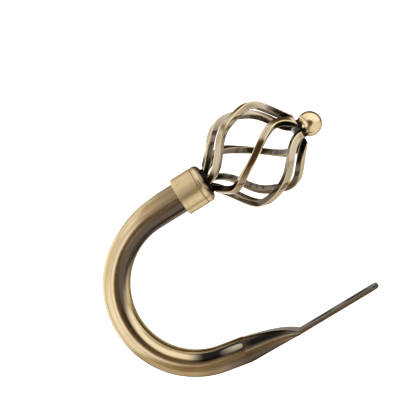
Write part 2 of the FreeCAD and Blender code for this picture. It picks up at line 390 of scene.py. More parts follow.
def girth_point(girth_share, t, tube_d, inset=0.0):
    """A point of the tube pressed to thickness t with its girth kept, as places across and up.

    The share runs round the section from its lowest point, by the inner side to the top and back.
    """
    r = t / 2
    flat = math.pi * (tube_d - t) / 4
    run = girth_share * math.pi * tube_d
    end = math.pi * r / 2
    if run < end or run > 4 * flat + 3 * end:
        a = run / r - math.pi / 2 if run < end else (run - 4 * flat - 4 * end) / r - math.pi / 2
        return (r - inset) * math.cos(a), -flat + (r - inset) * math.sin(a)
    if run < end + 2 * flat:
        return r - inset, run - end - flat
    if run < 2 * flat + 3 * end:
        a = (run - end - 2 * flat) / r
        return (r - inset) * math.cos(a), flat + (r - inset) * math.sin(a)
    return -(r - inset), flat - (run - 2 * flat - 3 * end)


class ArmStation:
    """One cross-section of the arm: its middle, its direction to the inside, its thickness and its run."""

    def __init__(self, middle, across, t, run, pressed=0.0, narrowing=0.0):
        self.middle = middle
        self.across = across
        self.t = t
        self.run = run
        self.pressed = pressed
        self.narrowing = narrowing

    def ring(self, tube_d, steps, inset=0.0):
        """The section's points and their places on the straight tube."""
        points, places = [], []
        flat = math.pi * (tube_d - self.t) / 4
        squeeze = 1 - self.narrowing / flat if flat else 1.0
        for i in range(steps):
            a, up = girth_point(i / steps, self.t, tube_d, inset)
            flat_up = max(-flat, min(flat, up))
            up = flat_up * squeeze + (up - flat_up)
            points.append(self.middle + self.across * a + Z_AXIS * up)
            places.append(Vector((self.run, a, up)))
        return points, places


def arm_stations(settings):
    """Cross-sections from the tube's end in the collar, round the bend, to the strip's tip."""
    arm = settings.arm
    bend_t = arm.tube_d - arm.bend_squeeze
    bend_outer_r = arm.bend_inner_r + bend_t
    strip_t = 2 * arm.tube_wall
    strip_start_x = strip_start(arm)
    strip_end_x = slots_end(arm) + arm.slot_tip_margin
    heel_arc_len = arm.heel_r * arm.set_back
    heel_end_x = strip_start_x - (arm.flare_len - heel_arc_len)
    heel_start_x = heel_end_x - arm.heel_r * math.sin(arm.set_back)
    bend_x = (heel_start_x - arm.lead_len * math.cos(arm.set_back)
              + bend_outer_r * math.sin(arm.set_back))
    bend_y = arm_y - arm.tube_d / 2 - arm.bend_inner_r
    bend_centre = Vector((bend_x, bend_y, 0.0))
    stations = []

    # straight tube in the collar, then rounding into the squeezed section
    start_x = tube_end_x(settings)
    runout_x = bend_x + arm.runout_len
    inward = Vector((0.0, -1.0, 0.0))
    for i in range(STRAIGHT_STEPS):
        x = start_x + (runout_x - start_x) * i / STRAIGHT_STEPS
        stations.append(ArmStation(Vector((x, arm_y, 0.0)), inward, arm.tube_d, start_x - x))
    middle_r = arm.bend_inner_r + bend_t / 2
    runout_arc_len = middle_r * arm.runout_turn
    for i in range(RUNOUT_STEPS):
        rounded = 1 - i / RUNOUT_STEPS
        t = bend_t + arm.bend_squeeze * (1 - math.cos(math.pi * rounded)) / 2
        step = (runout_arc_len + arm.runout_len) * rounded - runout_arc_len
        a = max(0.0, -step) / middle_r
        across = Vector((math.sin(a), -math.cos(a), 0.0))
        middle = bend_centre + Vector((max(0.0, step), 0.0, 0.0)) - across * (arm.bend_inner_r + t / 2)
        stations.append(ArmStation(middle, across, t, start_x - bend_x - step))
    run = start_x - bend_x + runout_arc_len

    # rest of the bend
    bend_turn = math.pi - arm.set_back - arm.runout_turn
    for i in range(BEND_STEPS):
        a = arm.runout_turn + bend_turn * i / BEND_STEPS
        across = Vector((math.sin(a), -math.cos(a), 0.0))
        stations.append(ArmStation(bend_centre - across * middle_r, across, bend_t,
                                   run + middle_r * (a - arm.runout_turn)))
    run += middle_r * bend_turn

    # lead
    across = Vector((math.sin(arm.set_back), math.cos(arm.set_back), 0.0))
    along = Vector((math.cos(arm.set_back), -math.sin(arm.set_back), 0.0))
    for i in range(LEAD_STEPS):
        step = arm.lead_len * i / LEAD_STEPS
        middle = bend_centre - across * middle_r + along * step
        stations.append(ArmStation(middle, across, bend_t, run + step))
    run += arm.lead_len

    # flare
    for i in range(FLARE_STEPS):
        part = i / FLARE_STEPS
        eased = ((math.hypot(part, arm.flare_ease) - arm.flare_ease)
                 / (math.hypot(1.0, arm.flare_ease) - arm.flare_ease))
        pressed = arm.flare_wedge * eased + (1 - arm.flare_wedge) * part ** arm.flare_round
        t = bend_t - (bend_t - strip_t) * pressed
        step = arm.flare_len * part
        lean = max(0.0, arm.set_back - step / arm.heel_r)
        foot = Vector((heel_end_x - arm.heel_r * math.sin(lean) + max(0.0, step - heel_arc_len),
                       arm.heel_r * (1 - math.cos(lean)), 0.0))
        across = Vector((math.sin(lean), math.cos(lean), 0.0))
        stations.append(ArmStation(foot + across * (t / 2), across, t, run + step, pressed))
    run += arm.flare_len
    flare_count = len(stations)

    # strip, narrowing to its bowed end and broken along its end edge
    across = Vector((0.0, 1.0, 0.0))
    bow_x = strip_end_x - arm.end_bow
    strip_flat = math.pi * (arm.tube_d - strip_t) / 4
    strip_half = strip_flat + strip_t / 2
    steps = []
    for i in range(STRIP_STEPS):
        steps.append((strip_start_x + (bow_x - strip_start_x) * i / STRIP_STEPS, strip_t))
    for i in range(BOW_STEPS + 1):
        part = math.sin(math.pi / 2 * i / BOW_STEPS)
        steps.append((bow_x + (arm.end_bow - arm.edge_break) * part, strip_t))
    steps.append((strip_end_x, strip_t - 2 * arm.edge_break))
    for x, t in steps:
        into_bow = max(0.0, x - bow_x) / arm.end_bow
        narrowing = min(strip_flat, strip_half * (1 - math.sqrt(max(0.0, 1 - into_bow ** 2))))
        middle = Vector((x, strip_t / 2, 0.0))
        stations.append(ArmStation(middle, across, t, run + x - strip_start_x, 1.0, narrowing))
    return stations, flare_count


def slot_cutter(arm, x):
    """A round-ended slot through the strip that widens at both faces, to break the slot's edges."""
    strip_t = 2 * arm.tube_wall
    spare = strip_t
    half = (arm.slot_len - arm.slot_w) / 2
    levels = ((-spare, arm.edge_break + spare), (arm.edge_break, 0.0),
              (strip_t - arm.edge_break, 0.0), (strip_t + spare, arm.edge_break + spare))
    steps = SLOT_END_STEPS
    rings = []
    for y, widening in levels:
        r = arm.slot_w / 2 + widening
        ring = []
        for i in range(2 * steps):
            side = 1 if i < steps else -1
            a = math.pi * (i % steps) / (steps - 1) - math.pi / 2
            ring.append(Vector((x + side * (half + r * math.cos(a)), y, side * r * math.sin(a))))
        rings.append(ring)
    mesh = lofted_mesh("slot_cutter", rings, rings)
    cutter = bpy.data.objects.new("slot_cutter", mesh)
    bpy.context.scene.collection.objects.link(cutter)
    return cutter


def cut_slots(piece, arm):
    """Cut the two slots and give the piece its new mesh."""
    cutters = [slot_cutter(arm, side * arm.slot_pitch / 2) for side in (-1, 1)]
    for cutter in cutters:
        cut = piece.modifiers.new("slot", "BOOLEAN")
        cut.operation = "DIFFERENCE"
        cut.solver = "EXACT"
        cut.object = cutter
    graph = bpy.context.evaluated_depsgraph_get()
    mesh = bpy.data.meshes.new_from_object(piece.evaluated_get(graph))
    piece.modifiers.clear()
    piece.data = mesh
    for cutter in cutters:
        bpy.data.objects.remove(cutter)
    return mesh


def arm_mesh_piece(settings):
    """The arm as one hollow tube: outer skin from the strip's tip, the open end, then the inside."""
    arm = settings.arm
    stations, flare_count = arm_stations(settings)
    rings, places = [], []
    for station in reversed(stations):
        ring, place = station.ring(arm.tube_d, GIRTH_STEPS)
        rings.append(ring)
        places.append(place)
    for station in stations[:flare_count:2]:
        inset = arm.tube_wall - arm.seam_gap / 2 * station.pressed
        ring, place = station.ring(arm.tube_d, GIRTH_STEPS, inset)
        rings.append(ring)
        places.append(place)
    return lofted_mesh("arm_tube", rings, places), stations


class HOLDBACK_OT_arm(Operator):
    """Build the bent tube with its pressed and slotted strip"""

    bl_idname = "holdback.arm"
    bl_label = "Hook Arm"

    def execute(self, context):
        settings = context.scene.holdback
        arm = settings.arm
        mesh, stations = arm_mesh_piece(settings)
        flare_run = next(station.run for station in stations if station.pressed > 0)
        piece = add_piece("arm_tube", mesh, arm_finish(settings.finish, flare_run),
                          "hook_arm")
        mesh = cut_slots(piece, arm)
        strip = stations[-1]
        stock = mesh.attributes[STOCK].data
        strip_from = strip_start(arm)
        strip_top = 3 * arm.tube_wall
        for vert in mesh.vertices:
            if vert.co.x > strip_from and vert.co.y < strip_top:
                along = strip.run + vert.co.x - strip.middle.x
                stock[vert.index].vector = (along, vert.co.y - arm.tube_wall, vert.co.z)
        mesh.materials.append(strip_finish(settings.finish, arm, strip.run - strip.middle.x))
        mesh.materials.append(disc_finish(settings.finish))
        slots_to = slots_end(arm) + arm.edge_break
        bow_from = strip.middle.x - arm.end_bow
        facing = 0.8
        for face in mesh.polygons:
            on_strip = face.center.x > strip_from and face.center.y < strip_top
            if on_strip and (abs(face.normal.y) > facing or face.center.x > bow_from):
                face.material_index = 1
            elif on_strip and abs(face.center.z) < arm.slot_w and face.center.x < slots_to:
                face.material_index = 2
        smooth_faces(mesh)
        return {"FINISHED"}


# Collar

class HOLDBACK_OT_collar(Operator):
    """Build the turned collar over the tube's end"""

    bl_idname = "holdback.collar"
    bl_label = "Collar"

    def execute(self, context):
        settings = context.scene.holdback
        collar = settings.collar
        end_x = tube_end_x(settings)
        socket_r = settings.arm.tube_d / 2 + collar.tube_fit
        hole_r = collar.stud_hole_d / 2
        nose_x = collar_end_x - collar.nose_r
        groove_x = nose_x - collar.groove_behind_nose - collar.groove_w / 2
        profile = [
            (end_x, hole_r),
            (end_x, socket_r),
            (collar_x, socket_r),
            (collar_x, collar_r - collar.mouth_chamfer),
            (collar_x + collar.mouth_chamfer, collar_r),
            (groove_x - collar.groove_w / 2, collar_r),
            (groove_x, collar_r - collar.groove_depth),
            (groove_x + collar.groove_w / 2, collar_r),
        ]
        profile += arc(nose_x, collar_r - collar.nose_r, collar.nose_r, 90, 0, 14)
        profile.append((collar_end_x, hole_r))
        mesh = turned_mesh("turned_collar", profile, COLLAR_STEPS, True)
        place = Matrix.Translation((0.0, arm_y, 0.0))
        add_piece("turned_collar", mesh, collar_finish(settings.finish),
                  "finial_collar", place)
        return {"FINISHED"}


# Cage

def smooth_course(points, steps):
    """Points and directions along the smooth curve through given points, evenly by chord length."""
    points = np.array(points)
    spans = np.linalg.norm(np.diff(points, axis=0), axis=1)
    knots = np.concatenate(([0.0], np.cumsum(spans)))
    count = len(points)
    lines = np.zeros((count, count))
    sides = np.zeros((count, 3))
    lines[0, 0] = lines[-1, -1] = 1.0
    sides[0] = np.polyfit(knots[:4] - knots[0], points[:4], 3)[2]
    sides[-1] = np.polyfit(knots[-4:] - knots[-1], points[-4:], 3)[2]
    for i in range(1, count - 1):
        before, after = spans[i - 1], spans[i]
        lines[i, i - 1:i + 2] = after, 2 * (before + after), before
        sides[i] = 3 * (after / before * (points[i] - points[i - 1])
                        + before / after * (points[i + 1] - points[i]))
    slopes = np.linalg.solve(lines, sides)
    course = []
    for at in np.linspace(0.0, knots[-1], steps + 1):
        i = min(int(np.searchsorted(knots, at, side="right")) - 1, count - 2)
        span = spans[i]
        u = (at - knots[i]) / span
        start, end = points[i], points[i + 1]
        pull, push = slopes[i] * span, slopes[i + 1] * span
        place = (start * (1 + 2 * u) * (1 - u) ** 2 + pull * u * (1 - u) ** 2
                 + end * u * u * (3 - 2 * u) + push * u * u * (u - 1))
        slope = ((start - end) * 6 * u * (u - 1) + pull * (1 - u) * (1 - 3 * u)
                 + push * u * (3 * u - 2))
        course.append((Vector(place), Vector(slope).normalized()))
    return course


def bar_section(cage):
    """Outline of a square bar with rounded edges, as places out from the axis and to the side."""
    half = cage.bar_size / 2
    flat = half - cage.bar_edge_r
    edge_steps, face_steps = 4, 3
    outline = []
    for corner in range(4):
        quarter = math.pi / 2 * corner
        c, s = math.cos(quarter), math.sin(quarter)
        corner_points = []
        for i in range(face_steps):
            corner_points.append((half, -flat + 2 * flat * i / face_steps))
        for i in range(edge_steps):
            a = math.pi / 2 * i / edge_steps
            corner_points.append((flat + cage.bar_edge_r * math.cos(a),
                                  flat + cage.bar_edge_r * math.sin(a)))
        outline += [(c * u - s * v, s * u + c * v) for u, v in corner_points]
    return outline


def trim_ends(mesh, low_x, high_x):
    """Cut a bar flush with the discs at both ends and close the cuts."""
    bm = bmesh.new()
    bm.from_mesh(mesh)
    for x, direction in ((low_x, -1.0), (high_x, 1.0)):
        parts = bm.verts[:] + bm.edges[:] + bm.faces[:]
        bmesh.ops.bisect_plane(bm, geom=parts, dist=SAME_POINT, plane_co=(x, 0.0, 0.0),
                               plane_no=(direction, 0.0, 0.0), clear_outer=True)
        rim = [edge for edge in bm.edges if edge.is_boundary]
        bmesh.ops.contextual_create(bm, geom=rim)
    bmesh.ops.recalc_face_normals(bm, faces=bm.faces)
    bm.to_mesh(mesh)
    bm.free()


def bar_mesh(cage, number):
    """One bar of the cage, along +X from the base disc."""
    clock = cage.clock + 2 * math.pi * number / cage.bar_count
    foot_r = bar_foot_r(cage)
    points = []
    for along, swell, turned in BAR_COURSE:
        r = foot_r + (cage.belly_r - foot_r) * swell
        a = clock + cage.twist * turned
        x = cage.base_disc_t + cage.bars_len * along
        points.append((x, r * math.sin(a), r * math.cos(a)))
    course = smooth_course(points, BAR_STEPS)
    first, last = course[0], course[-1]
    spare = cage.bar_size
    course.insert(0, (first[0] - first[1] * spare, first[1]))
    course.append((last[0] + last[1] * spare, last[1]))
    frames = [first] + course[1:-1] + [last]
    outline = bar_section(cage)
    rings, places = [], []
    run = number * bar_run_step(cage)
    previous = course[0][0]
    for (place, tangent), (frame_place, _) in zip(course, frames):
        out = Vector((0.0, frame_place.y, frame_place.z))
        out = (out - tangent * out.dot(tangent)).normalized()
        side = tangent.cross(out)
        run += (place - previous).length
        previous = place
        rings.append([place + out * u + side * v for u, v in outline])
        places.append([Vector((run, u, v)) for u, v in outline])
    mesh = lofted_mesh("twisted_bar", rings, places)
    trim_ends(mesh, cage.base_disc_t, bars_end(cage))
    smooth_faces(mesh, 50.0)
    return mesh


class HOLDBACK_OT_cage_bars(Operator):
    """Build the twisted square bars"""

    bl_idname = "holdback.cage_bars"
    bl_label = "Cage Bars"

    def execute(self, context):
        settings = context.scene.holdback
        cage = settings.cage
        finish = bar_finish(settings.finish, cage)
        for number in range(cage.bar_count):
            name = "twisted_bar_%d" % (number + 1)
            add_piece(name, bar_mesh(cage, number), finish,
                      "cage_bar_%d" % (number + 1), cage_matrix(cage))
        return {"FINISHED"}


def base_disc_mesh(cage):
    """The disc under the bars, its foot faced to the collar's end."""
    r, hole_r, edge = cage.base_disc_d / 2, cage.base_hole_d / 2, DISC_EDGE
    top = cage.base_disc_t
    profile = [(0.0, hole_r), (0.0, r), (top - edge, r), (top, r - edge), (top, hole_r)]
    mesh = turned_mesh("base_disc", profile, DISC_STEPS, True)
    for vert in mesh.vertices:
        if abs(vert.co.x) < edge / 2:
            vert.co.x = -vert.co.y * math.tan(cage.lean)
    return mesh


class HOLDBACK_OT_discs(Operator):
    """Build the two dark discs that hold the bars"""

    bl_idname = "holdback.discs"
    bl_label = "Discs"

    def execute(self, context):
        settings = context.scene.holdback
        cage = settings.cage
        finish = disc_finish(settings.finish)
        add_piece("base_disc", base_disc_mesh(cage), finish, "cage_base",
                  cage_matrix(cage))
        r, hole_r = tip_disc_r(cage), cage.screw_d / 2 + cage.screw_clearance
        start, end = bars_end(cage), tip_disc_end(cage)
        edge = DISC_EDGE
        profile = [(start, hole_r), (start, r - edge), (start + edge, r), (end - edge, r),
                   (end, r - edge), (end, hole_r)]
        mesh = turned_mesh("closing_disc", profile, DISC_STEPS, True)
        add_piece("closing_disc", mesh, finish, "tip_disc", cage_matrix(cage))
        return {"FINISHED"}


class HOLDBACK_OT_ball(Operator):
    """Build the turned ball at the tip"""

    bl_idname = "holdback.ball"
    bl_label = "Ball"

    def execute(self, context):
        settings = context.scene.holdback
        cage = settings.cage
        r = cage.ball_d / 2
        seat = tip_disc_end(cage)
        centre = seat + r - cage.ball_cut
        hole_r = cage.screw_d / 2 + cage.screw_clearance
        hole_end = seat + cage.screw_reach + cage.screw_clearance
        flat_deg = math.degrees(math.acos((seat - centre) / r))
        profile = [(hole_end, 0.0), (hole_end, hole_r), (seat, hole_r)]
        profile += arc(centre, 0.0, r, flat_deg, 0.0, 72)
        mesh = turned_mesh("tip_ball", profile, BALL_STEPS, False)
        add_piece("turned_ball", mesh, ball_finish(settings.finish), "tip_ball",
                  cage_matrix(cage))
        return {"FINISHED"}


class HOLDBACK_OT_fixings(Operator):
    """Build the ball's screw, and finish the plug and the stud inside the tube"""

    bl_idname = "holdback.fixings"
    bl_label = "Fixings"

    def execute(self, context):
        settings = context.scene.holdback
        cage = settings.cage
        finish = steel_finish(settings.finish)
        head_r = bar_corner_r(cage) - cage.screw_head_gap
        head_end = bars_end(cage)
        top = head_end - cage.screw_head_h
        crown_r = head_r / 2
        tip = tip_disc_end(cage) + cage.screw_reach
        profile = [(top, 0.0)]
        profile += arc(top + crown_r, head_r - crown_r, crown_r, 180, 90, 10)
        profile += [(head_end, head_r), (head_end, cage.screw_d / 2), (tip, cage.screw_d / 2), (tip, 0.0)]
        mesh = turned_mesh("round_head_screw", profile, SCREW_STEPS, False)
        add_piece("round_head_screw", mesh, finish, "ball_screw", cage_matrix(cage))
        for name in ("tube_plug", "finial_stud"):
            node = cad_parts[name]
            node.data.materials.clear()
            node.data.materials.append(finish)
        return {"FINISHED"}


# Finishes

class Finish:
    """A metal finish: a material with one metal shader, and short calls for the nodes it needs."""

    def __init__(self, name, roughness=0.3):
        self.material = bpy.data.materials.new(name)
        self.material.use_nodes = True
        self.tree = self.material.node_tree
        self.shader = self.tree.nodes["Principled BSDF"]
        self.shader.inputs["Metallic"].default_value = 1.0
        self.shader.inputs["Roughness"].default_value = roughness

    def node(self, kind, **inputs):
        """A node with some of its inputs set to values or linked to outputs."""
        made = self.tree.nodes.new(kind)
        for name, value in inputs.items():
            self.feed(made.inputs[name.replace("_", " ")], value)
        return made

    def feed(self, socket, value):
        """Link an output to an input, or set the input's own value."""
        if isinstance(value, bpy.types.NodeSocket):
            self.tree.links.new(value, socket)
        else:
            socket.default_value = value

    def stock(self, scale):
        """Places on the stock, stretched by a scale along, across and up."""
        place = self.tree.nodes.new("ShaderNodeAttribute")
        place.attribute_name = STOCK
        stretched = self.node("ShaderNodeVectorMath")
        stretched.operation = "MULTIPLY"
        self.feed(stretched.inputs[0], place.outputs["Vector"])
        stretched.inputs[1].default_value = scale
        return stretched.outputs["Vector"]

    def stock_parts(self):
        """Places on the stock along, across and up, each as a number."""
        place = self.tree.nodes.new("ShaderNodeAttribute")
        place.attribute_name = STOCK
        parts = self.node("ShaderNodeSeparateXYZ", Vector=place.outputs["Vector"])
        return parts.outputs["X"], parts.outputs["Y"], parts.outputs["Z"]

    def noise(self, vector, scale=1.0, detail=2.0, roughness=0.5):
        made = self.node("ShaderNodeTexNoise", Vector=vector, Scale=scale, Detail=detail,
                         Roughness=roughness)
        return made.outputs["Fac"]

    def remap(self, value, low, high, to_low=0.0, to_high=1.0):
        """A number carried smoothly from one range to another."""
        made = self.tree.nodes.new("ShaderNodeMapRange")
        made.interpolation_type = "SMOOTHSTEP"
        self.feed(made.inputs["Value"], value)
        made.inputs["From Min"].default_value = low
        made.inputs["From Max"].default_value = high
        made.inputs["To Min"].default_value = to_low
        made.inputs["To Max"].default_value = to_high
        return made.outputs["Result"]

    def sum(self, operation, first, second=0.0):
        """Two numbers put together by a named operation, or one number where it needs no more."""
        made = self.tree.nodes.new("ShaderNodeMath")
        made.operation = operation
        self.feed(made.inputs[0], first)
        self.feed(made.inputs[1], second)
        return made.outputs["Value"]

    def mix(self, amount, first, second):
        """One colour going over to another."""
        made = self.tree.nodes.new("ShaderNodeMix")
        made.data_type = "RGBA"
        self.feed(made.inputs["Factor"], amount)
        for socket, value in ((made.inputs[6], first), (made.inputs[7], second)):
            self.feed(socket, value if isinstance(value, bpy.types.NodeSocket) else (*value, 1.0))
        return made.outputs[2]

    def lay(self, base, over, amount, *limits):
        """A colour laid over another by an amount, held back by further amounts."""
        for limit in limits:
            amount = self.sum("MULTIPLY", amount, limit)
        return self.mix(amount, base, over)

    def hypot(self, first, second):
        """Length of a line that goes by two numbers along and across."""
        squares = self.sum("ADD", self.sum("MULTIPLY", first, first),
                           self.sum("MULTIPLY", second, second))
        return self.sum("SQRT", squares)

    def band(self, value, low, high, soft):
        """1 where a number lies between two others, with soft edges."""
        return self.sum("MULTIPLY", self.remap(value, low - soft, low + soft),
                        self.remap(value, high - soft, high + soft, 1.0, 0.0))

    def relief(self, height, strength):
        """Fine relief of the surface."""
        made = self.node("ShaderNodeBump", Height=height, Strength=strength, Distance=RELIEF_DEPTH)
        self.feed(self.shader.inputs["Normal"], made.outputs["Normal"])

    def paint(self, base, roughness):
        """The material with its colour and roughness fed in."""
        self.feed(self.shader.inputs["Base Color"], base)
        self.feed(self.shader.inputs["Roughness"], roughness)
        return self.material


def arm_finish(colours, flare_run):
    """Satin brass brushed along the tube, with painted dark reflections inside the bend, on the lead and
    on the flare, and painted black and pale reflections at the press.
    """
    finish = Finish("brushed_arm_brass")
    remap, band, lay = finish.remap, finish.band, finish.lay
    along, inside, up = finish.stock_parts()
    round_tube = finish.sum("ARCTAN2", inside, finish.sum("ABSOLUTE", up))
    streaks = finish.noise(finish.stock((9.0, 1100.0, 1100.0)), detail=3.0, roughness=0.6)
    hairlines = finish.noise(finish.stock((30.0, 4200.0, 4200.0)), detail=2.0)
    stains = finish.noise(finish.stock((60.0, 110.0, 110.0)), detail=2.0)
    base = lay(colours.brass, colours.worn_brass_and_painted_reflection, remap(stains, 0.50, 0.75, 0.0, 0.5))
    base = lay(base, colours.patina_and_painted_shade, remap(streaks, 0.48, 0.74, 0.0, 0.5))

    # painted grey reflection on the tube beside the collar
    base = lay(base, colours.gunmetal_and_painted_reflection, remap(round_tube, 0.02, 0.16, 1.0, 0.0),
               remap(along, 17 * MM, 32 * MM, 0.42, 0.0))

    # painted dark reflection on the inner side of the bend, blackest along its middle, paler towards its
    # innermost line
    dark = lay(colours.painted_dark_reflection, colours.blackened_and_painted_shade, band(round_tube, 0.80, 1.03, 0.08), 0.8)
    dark = lay(dark, colours.rubbed_and_painted_light, remap(round_tube, 1.03, 1.18, 0.0, 0.5))
    reach = finish.sum("ADD", along, finish.sum("MULTIPLY", inside, 10.0))
    base = lay(base, dark, remap(round_tube, 0.16, 0.34), remap(reach, 122 * MM, 152 * MM, 1.0, 0.0))

    # painted shade at the press: the whole flare darkened, most of all beside the ridge
    press = finish.sum("SUBTRACT", along, flare_run)
    base = lay(base, colours.patina_and_painted_shade, remap(press, -5 * MM, 4 * MM, 0.0, 0.55))
    from_ridge = finish.sum("ABSOLUTE", finish.sum("ADD", round_tube, 0.14))
    base = lay(base, colours.painted_dark_reflection, remap(from_ridge, 0.08, 0.26), remap(press, -14 * MM, 6 * MM))

    # painted dark reflections on the outer side and the lower edge, and on the inner side of the lead, and
    # a paler painted reflection on the upper side of the flare
    base = lay(base, colours.painted_dark_reflection, remap(round_tube, -0.30, -0.10, 0.85, 0.0),
               remap(press, -32 * MM, -4 * MM))
    base = lay(base, colours.blackened_and_painted_shade, remap(round_tube, -0.85, -0.55, 0.8, 0.0),
               band(press, 4 * MM, 34 * MM, 6 * MM))
    base = lay(base, colours.painted_dark_reflection, remap(round_tube, 0.72, 0.95, 0.0, 0.7),
               remap(press, -32 * MM, -18 * MM))
    base = lay(base, colours.worn_brass_and_painted_reflection, band(round_tube, 0.74, 1.10, 0.10),
               band(press, 2 * MM, 26 * MM, 5 * MM), 0.4)

    # painted black reflections on both sides of the crease, and a painted pale reflection between them
    base = lay(base, colours.slot_black_and_painted_shade, band(round_tube, 0.12, 0.78, 0.14),
               band(press, -28 * MM, 2 * MM, 6 * MM))
    spot_along = finish.sum("DIVIDE", finish.sum("ADD", press, 6.2 * MM), 7.0 * MM)
    spot_round = finish.sum("DIVIDE", finish.sum("SUBTRACT", round_tube, 0.40), 0.19)
    spot = finish.sum("ADD", finish.sum("POWER", spot_along, 4.0),
                      finish.sum("MULTIPLY", spot_round, spot_round))
    base = lay(base, colours.rubbed_and_painted_light, remap(spot, 0.7, 1.3, 1.0, 0.0), remap(press, -15 * MM, -3 * MM))
    base = lay(base, colours.slot_black_and_painted_shade, band(round_tube, 0.12, 0.56, 0.12),
               band(press, 4 * MM, 26 * MM, 4 * MM))
    # painted shade on the outer half where the flare meets the strip
    base = lay(base, colours.patina_and_painted_shade, remap(round_tube, -0.03, 0.03, 0.9, 0.0),
               remap(press, 24 * MM, 31 * MM))

    # greyer sheen on the outer rim of the bend
    sheen = lay((0.22, 0.18, 0.13), (0.33, 0.34, 0.36), remap(round_tube, -0.9, -0.5, 1.0, 0.0),
                remap(press, -70 * MM, -30 * MM, 1.0, 0.0))
    finish.feed(finish.shader.inputs["Specular Tint"], sheen)
    finish.relief(hairlines, 0.06)
    return finish.paint(base, remap(streaks, 0.3, 0.7, 0.17, 0.24))


def strip_finish(colours, arm, slots_run):
    """Grey dark finish of the pressed strip, with a faint grain along it, and painted black shade round
    the slots.
    """
    finish = Finish("gunmetal_strip")
    along, _, up = finish.stock_parts()
    grain = finish.noise(finish.stock((40.0, 900.0, 900.0)), detail=3.0)
    base = finish.mix(finish.remap(grain, 0.35, 0.7), colours.gunmetal_and_painted_reflection, colours.blackened_and_painted_shade)
    # painted black shade round each slot, in place of its dark opening
    from_mid = finish.sum("ABSOLUTE", finish.sum("SUBTRACT", along, slots_run))
    from_slot = finish.sum("ABSOLUTE", finish.sum("SUBTRACT", from_mid, arm.slot_pitch / 2))
    past_end = finish.sum("SUBTRACT", from_slot, (arm.slot_len - arm.slot_w) / 2)
    gap = finish.hypot(finish.sum("MAXIMUM", past_end, 0.0), up)
    slot_painted_shade = finish.remap(gap, arm.slot_w / 2 + 1.0 * MM, arm.slot_w / 2 + 2.2 * MM, 1.0, 0.0)
    base = finish.mix(slot_painted_shade, base, colours.slot_black_and_painted_shade)
    finish.feed(finish.shader.inputs["Specular Tint"],
                finish.mix(slot_painted_shade, (0.45, 0.43, 0.43), colours.slot_black_and_painted_shade))
    finish.relief(grain, 0.1)
    return finish.paint(base, finish.remap(grain, 0.3, 0.7, 0.40, 0.55))


def lathe_grain(finish, amount):
    """Brush lines round the lathe's axis."""
    finish.shader.inputs["Anisotropic"].default_value = amount
    grain = finish.tree.nodes.new("ShaderNodeTangent")
    grain.direction_type = "RADIAL"
    grain.axis = "X"
    finish.feed(finish.shader.inputs["Tangent"], grain.outputs["Tangent"])
    finish.shader.inputs["Anisotropic Rotation"].default_value = 0.25


def collar_finish(colours):
    """Brass brushed round on the lathe, dark in the groove, at the mouth and on the end."""
    finish = Finish("lathe_brushed_brass")
    _, across, up = finish.stock_parts()
    radius = finish.hypot(across, up)
    rings = finish.noise(finish.stock((1100.0, 25.0, 25.0)), detail=4.0, roughness=0.7)
    fine = finish.noise(finish.stock((5200.0, 60.0, 60.0)), detail=2.0)
    base = finish.mix(finish.remap(rings, 0.50, 0.74, 0.0, 0.8), colours.lathe_brass,
                      colours.worn_brass_and_painted_reflection)
    base = finish.mix(finish.remap(radius, collar_r - 0.4 * MM, collar_r - 0.05 * MM, 0.5, 0.0), base,
                      colours.patina_and_painted_shade)
    base = finish.mix(finish.remap(radius, collar_r - 3.1 * MM, collar_r - 1.9 * MM, 1.0, 0.0), base,
                      colours.slot_black_and_painted_shade)
    finish.relief(fine, 0.10)
    finish.shader.inputs["Specular Tint"].default_value = (0.35, 0.28, 0.20, 1.0)
    lathe_grain(finish, 0.25)
    return finish.paint(base, finish.remap(rings, 0.3, 0.7, 0.30, 0.36))


def ball_finish(colours):
    """Brass turned and polished round the ball's axis."""
    finish = Finish("turned_ball_brass")
    rings = finish.noise(finish.stock((1500.0, 30.0, 30.0)), detail=3.0, roughness=0.6)
    base = finish.mix(finish.remap(rings, 0.5, 0.8, 0.0, 0.6), colours.lathe_brass,
                      colours.worn_brass_and_painted_reflection)
    finish.shader.inputs["Specular Tint"].default_value = (0.3, 0.24, 0.18, 1.0)
    finish.relief(rings, 0.06)
    lathe_grain(finish, 0.85)
    return finish.paint(base, finish.remap(rings, 0.3, 0.7, 0.16, 0.20))


